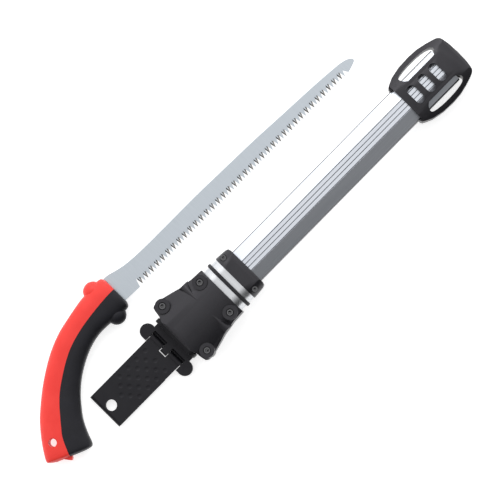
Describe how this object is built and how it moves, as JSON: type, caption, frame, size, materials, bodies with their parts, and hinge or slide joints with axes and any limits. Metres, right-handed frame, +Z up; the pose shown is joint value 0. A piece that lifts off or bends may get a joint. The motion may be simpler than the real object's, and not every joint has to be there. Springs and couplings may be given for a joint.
{
  "type": "pruning hand saw with scabbard",
  "caption": "Curved-handle pruning saw beside its scabbard, with a roller mouth, a hinged belt hanger, an aluminium sheath tube and a slotted end cap.",
  "frame": {"origin": "middle of the layout's footprint, on the surface that the saw and the scabbard lie on", "axes": "+X along the scabbard from the belt hanger to the end cap and along the blade towards its tip, +Y across from the scabbard to the saw, +Z up"},
  "size_m": [0.575, 0.1407, 0.038],
  "materials": {
    "sheath_aluminium": "satin drawn extrusion with fine lengthwise lines",
    "sleeve_aluminium": "smooth satin",
    "housing_black": "fine moulded texture",
    "hanger_black": "fine moulded texture with shallow dimples",
    "liner_black": "smooth dark moulding",
    "ring_rubber": "matt",
    "roller_rubber": "matt",
    "screw_steel": "zinc plated",
    "screw_black": "black oxide",
    "insert_brass": "machined",
    "blade_steel": "polished, hard chromed, ground teeth",
    "handle_red": "soft satin elastomer over a hard core",
    "grip_black": "soft matt grip"
  },
  "bodies": {
    "scabbard": {"sheath_tube": "sheath_aluminium", "end_cap": "housing_black", "cap_screws": "screw_steel", "collar_front": "housing_black", "collar_back": "housing_black", "collar_screws": "screw_black", "collar_nuts": "screw_steel", "mouth_sleeve": "sleeve_aluminium", "sleeve_ring": "ring_rubber", "mouth_front": "housing_black", "mouth_back": "housing_black", "mouth_screws": "screw_black", "mouth_inserts": "insert_brass", "throat_liner": "liner_black", "roller_axle_front": "screw_steel", "roller_axle_back": "screw_steel", "hanger_yoke": "hanger_black", "yoke_screws": "screw_steel", "hinge_pin": "screw_steel"},
    "hanger": {"belt_hanger": "hanger_black"},
    "front_roller": {"roller_front": "roller_rubber"},
    "back_roller": {"roller_back": "roller_rubber"},
    "saw": {"blade": "blade_steel", "handle_core": "handle_red", "handle_grip": "grip_black", "blade_screws": "screw_steel", "blade_nuts": "screw_steel"}
  },
  "joints": [
    {"name": "saw_draw", "type": "slide", "parent": "scabbard", "child": "saw", "axis": [-1, 0, 0], "range_m": [0, 0.34]},
    {"name": "hanger_fold", "type": "hinge", "parent": "scabbard", "child": "hanger", "pos_m": [-0.1255, -0.0319, 0.0033], "axis": [0, 1, 0], "range_deg": [-90, 90]},
    {"name": "roller_front_spin", "type": "hinge", "parent": "scabbard", "child": "front_roller", "pos_m": [-0.0665, -0.0319, 0.0243], "axis": [0, 1, 0], "continuous": true},
    {"name": "roller_back_spin", "type": "hinge", "parent": "scabbard", "child": "back_roller", "pos_m": [-0.0665, -0.0319, 0.0137], "axis": [0, 1, 0], "continuous": true}
  ]
}
